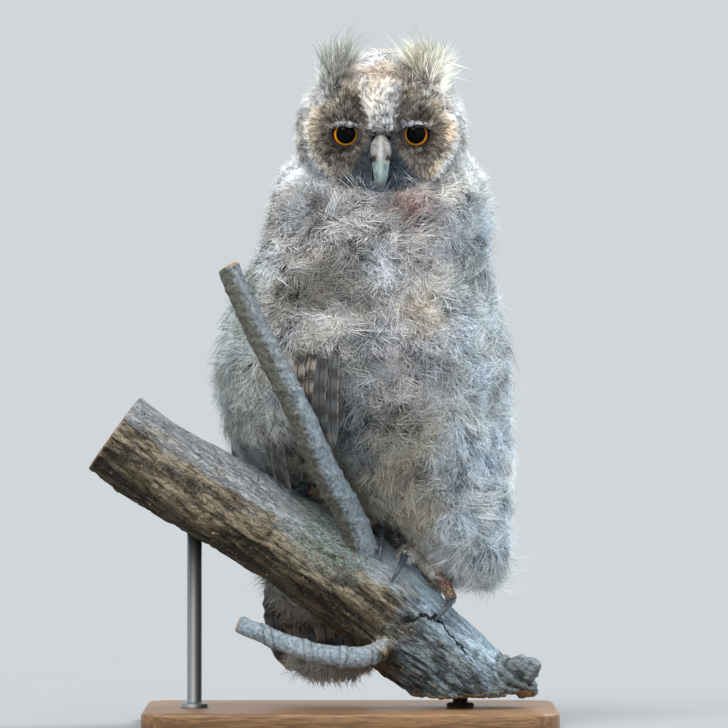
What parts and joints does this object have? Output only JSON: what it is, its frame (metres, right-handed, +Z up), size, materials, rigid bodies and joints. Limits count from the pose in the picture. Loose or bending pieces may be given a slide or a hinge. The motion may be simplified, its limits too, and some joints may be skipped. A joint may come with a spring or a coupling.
{
  "type": "long-eared owl fledgling on a perch",
  "caption": "Downy fledgling long-eared owl sitting upright on a cut length of sloping branch, held by a flat base and short rods.",
  "frame": {"origin": "centre of the underside of the stand's base", "axes": "+Z up, the owl looks along -Y, the owl's left is +X"},
  "size_m": [0.2223, 0.1407, 0.3323],
  "materials": {
    "body_down": "soft matt down",
    "wing_down": "soft matt down with barred feathers",
    "face_down": "short soft plumes",
    "tuft_plumes": "loose downy plumes",
    "tail_feathers": "barred vanes in sheaths with frayed down",
    "bill_horn": "smooth satin horn",
    "claw_horn": "smooth satin horn",
    "toe_skin": "scaled bare skin",
    "eye": "wet gloss",
    "bark": "rough cracked bark",
    "base_wood": "oiled satin wood",
    "rod_steel": "fine brushed"
  },
  "bodies": {
    "root": {"stand_base": "base_wood", "stand_rod_left": "rod_steel", "stand_rod_right": "rod_steel", "perch_branch": "bark", "perch_shoot": "bark", "perch_twig": "bark", "head": "face_down", "eye_right": "eye", "eye_left": "eye", "bill_upper": "bill_horn", "bill_lower": "bill_horn", "ear_tuft_right": "tuft_plumes", "ear_tuft_left": "tuft_plumes", "foot_right": "toe_skin", "foot_left": "toe_skin", "claw_right_inner": "claw_horn", "claw_right_middle": "claw_horn", "claw_right_outer": "claw_horn", "claw_right_hind": "claw_horn", "claw_left_inner": "claw_horn", "claw_left_middle": "claw_horn", "claw_left_outer": "claw_horn", "claw_left_hind": "claw_horn", "neck": "body_down", "torso": "body_down", "wing_right": "wing_down", "wing_left": "wing_down", "tail": "tail_feathers", "leg_right": "body_down", "leg_left": "body_down"}
  },
  "joints": []
}
